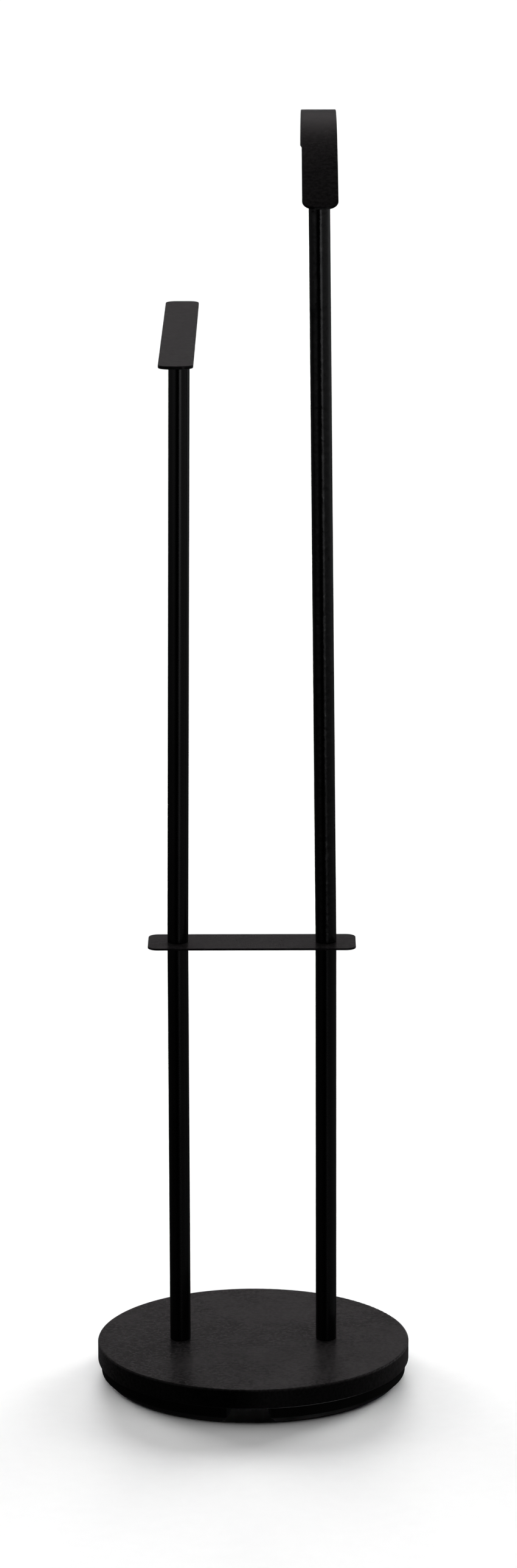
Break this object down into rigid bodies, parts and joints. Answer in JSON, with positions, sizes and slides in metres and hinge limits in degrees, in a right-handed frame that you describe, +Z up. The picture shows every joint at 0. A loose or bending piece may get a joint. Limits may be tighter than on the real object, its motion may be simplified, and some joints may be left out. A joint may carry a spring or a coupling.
{
  "type": "standing coat rack",
  "caption": "Valet-style coat rack: a round weighted base carries two tube uprights joined by a narrow shelf, one topped by a straight trouser bar, the other by an arched jacket hanger.",
  "frame": {"origin": "on the floor under the middle of the round base", "axes": "+Z up; the two uprights stand side by side along X, the short one at -X and the tall one at +X; the trouser bar, the jacket hanger and the shelf's width reach along Y"},
  "size_m": [0.302, 0.4354, 1.2256],
  "materials": {
    "black_coat": "satin powder coat",
    "rubber": "matt",
    "plate_steel": "matt",
    "ballast": "rough cast",
    "zinc": "zinc plated",
    "raw_steel": "turned"
  },
  "bodies": {
    "root": {"base_cover": "black_coat", "base_weight": "ballast", "base_underplate": "plate_steel", "base_spacers": "raw_steel", "foot_pad_right": "rubber", "foot_pad_rear": "rubber", "foot_pad_left": "rubber", "foot_pad_screws": "zinc", "post_bolts": "zinc", "post_washers": "zinc", "shelf_studs": "zinc", "lower_post_left": "black_coat", "lower_plug_foot_left": "raw_steel", "lower_plug_head_left": "raw_steel", "upper_plug_foot_left": "raw_steel", "lower_post_right": "black_coat", "lower_plug_foot_right": "raw_steel", "lower_plug_head_right": "raw_steel", "upper_plug_foot_right": "raw_steel", "upper_plug_head_left": "raw_steel", "upper_plug_head_right": "raw_steel", "upper_post_short": "black_coat", "shelf": "black_coat", "trouser_bar": "black_coat", "jacket_hanger": "black_coat", "bar_stud": "zinc", "hanger_stud": "zinc", "upper_post_tall": "black_coat"}
  },
  "joints": []
}
